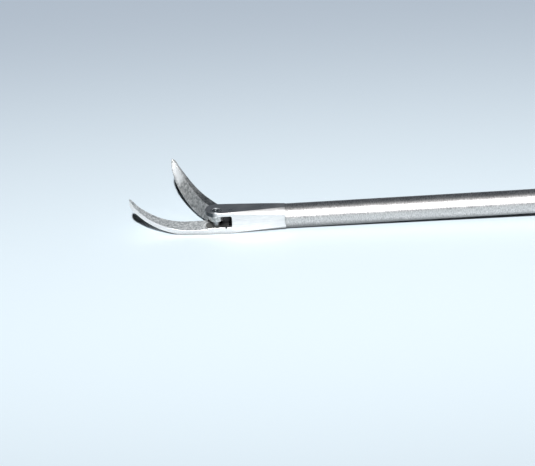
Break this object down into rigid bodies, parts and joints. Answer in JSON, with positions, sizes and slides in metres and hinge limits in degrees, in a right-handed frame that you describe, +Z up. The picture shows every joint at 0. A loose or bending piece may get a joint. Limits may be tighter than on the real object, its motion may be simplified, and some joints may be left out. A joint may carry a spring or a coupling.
{
  "type": "arthroscopic scissors",
  "caption": "Arthroscopic scissors with a slim tube shaft, upward-curved blades opened by a push rod, and a ring handle.",
  "frame": {"origin": "on the resting plane, under the shaft axis, at the front shoulder of the handle", "axes": "+X along the shaft towards the handle, +Y towards the side on which the moving blade opens, +Z up and parallel to both pivots"},
  "size_m": [0.204, 0.0755, 0.0092],
  "materials": {
    "head_steel": "milled and satin polished stainless steel",
    "blade_steel": "ground and blasted martensitic stainless steel",
    "tube_steel": "centreless-ground bright stainless tube",
    "rod_steel": "drawn stainless rod",
    "ferrule_steel": "turned and polished stainless steel",
    "handle_steel": "satin blasted stainless steel",
    "pin_steel": "hardened and ground stainless pin",
    "screw_steel": "turned stainless screw",
    "washer_steel": "ground stainless washer",
    "bush_bronze": "sintered bearing bronze"
  },
  "bodies": {
    "frame": {"jaw_head": "head_steel", "blade_pivot_pin": "pin_steel", "shaft_tube": "tube_steel", "rod_guide_bush": "bush_bronze", "tube_ferrule": "ferrule_steel", "handle_body": "handle_steel", "stop_pin": "pin_steel", "ferrule_set_screw": "screw_steel", "lever_pivot_screw": "screw_steel", "lever_washer_lower": "washer_steel", "lever_washer_upper": "washer_steel"},
    "lever": {"thumb_lever": "handle_steel", "lever_bush": "bush_bronze", "lever_cross_pin": "pin_steel"},
    "rod": {"drive_rod": "rod_steel", "drive_pin": "pin_steel", "rod_end_eye": "rod_steel", "rod_end_lock_nut": "screw_steel"},
    "blade": {"moving_blade": "blade_steel"}
  },
  "joints": [
    {"name": "lever_hinge", "type": "hinge", "parent": "frame", "child": "lever", "pos_m": [0.024, 0.0055, 0.004], "axis": [0, 0, -1], "range_deg": [0, 13.49]},
    {"name": "rod_slide", "type": "slide", "parent": "frame", "child": "rod", "axis": [-1, 0, 0], "range_m": [0, 0.0013]},
    {"name": "blade_hinge", "type": "hinge", "parent": "frame", "child": "blade", "pos_m": [-0.1177, -0.00055, 0.004], "axis": [0, 0, 1], "range_deg": [0, 59]}
  ],
  "couplings": [
    {"joint": "rod_slide", "follows": "lever_hinge", "m_per_rad": 0.0055256},
    {"joint": "blade_hinge", "follows": "lever_hinge", "ratio": 4.3726}
  ]
}
